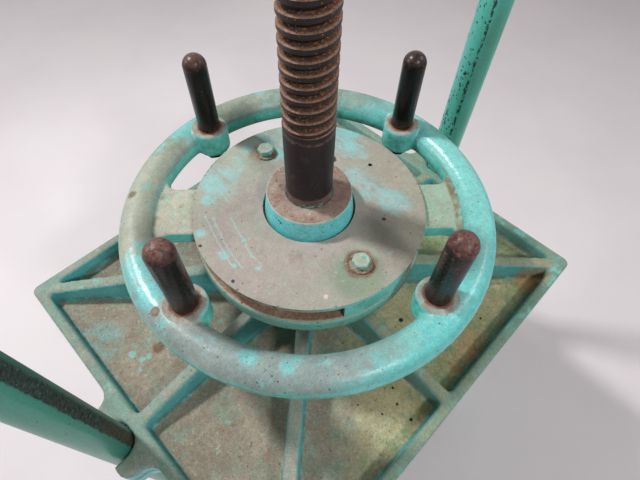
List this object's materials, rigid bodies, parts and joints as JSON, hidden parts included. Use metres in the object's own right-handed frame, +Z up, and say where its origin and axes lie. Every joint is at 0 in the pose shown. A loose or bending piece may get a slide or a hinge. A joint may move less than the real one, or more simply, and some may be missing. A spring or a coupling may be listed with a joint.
{
  "type": "hand screw press",
  "caption": "Standing screw press with round columns, a ribbed sliding platen, and a loose handwheel that strikes the stops of a drive disc keyed to the screw.",
  "frame": {"origin": "on the floor, under the axis of the screw", "axes": "+X from the left column to the right column, +Y to the rear, +Z up along the screw"},
  "size_m": [1.0338, 0.726, 2.0845],
  "materials": {
    "green_paint": "worn, satin",
    "dusty_paint": "dusty, matt",
    "column_paint": "worn, satin",
    "bare_steel": "dark, oily, slightly rusted",
    "bronze": "machined, dull",
    "handle_black": "worn, semi-gloss"
  },
  "bodies": {
    "frame": {"bed_casting": "green_paint", "column_left": "column_paint", "column_right": "column_paint", "column_washers_lower": "bare_steel", "column_nuts_lower": "bare_steel", "crosshead_casting": "green_paint", "column_washers_upper": "bare_steel", "column_nuts_upper": "bare_steel", "screw_nut": "bronze", "screw_nut_bolts": "bare_steel"},
    "platen": {"platen_casting": "dusty_paint", "journal_bush": "bronze", "thrust_washer": "bronze", "lift_washer": "bronze", "hub_cap": "green_paint", "hub_cap_bolts": "bare_steel"},
    "screw": {"screw_spindle": "bare_steel", "drive_disc": "green_paint", "drive_key": "bare_steel", "drive_pin": "bare_steel", "stop_cover": "dusty_paint", "stop_washers": "bare_steel", "stop_bolts": "green_paint", "stop_nuts": "bare_steel", "wheel_ring": "bronze"},
    "handwheel": {"handwheel": "green_paint", "wheel_bush": "bronze", "handle_1": "handle_black", "handle_2": "handle_black", "handle_3": "handle_black", "handle_4": "handle_black", "handle_nuts": "bare_steel"}
  },
  "joints": [
    {"name": "platen_slide", "type": "slide", "parent": "frame", "child": "platen", "axis": [0, 0, 1], "range_m": [-0.4126, 0.2971]},
    {"name": "screw_turn", "type": "hinge", "parent": "platen", "child": "screw", "pos_m": [0, 0, 0.9], "axis": [0, 0, 1], "range_deg": [-9000, 6480]},
    {"name": "wheel_swing", "type": "hinge", "parent": "screw", "child": "handwheel", "pos_m": [0, 0, 0.9733], "axis": [0, 0, 1], "range_deg": [-25.38, 89.38]}
  ],
  "couplings": [
    {"joint": "platen_slide", "follows": "screw_turn", "m_per_rad": 0.0026261}
  ]
}
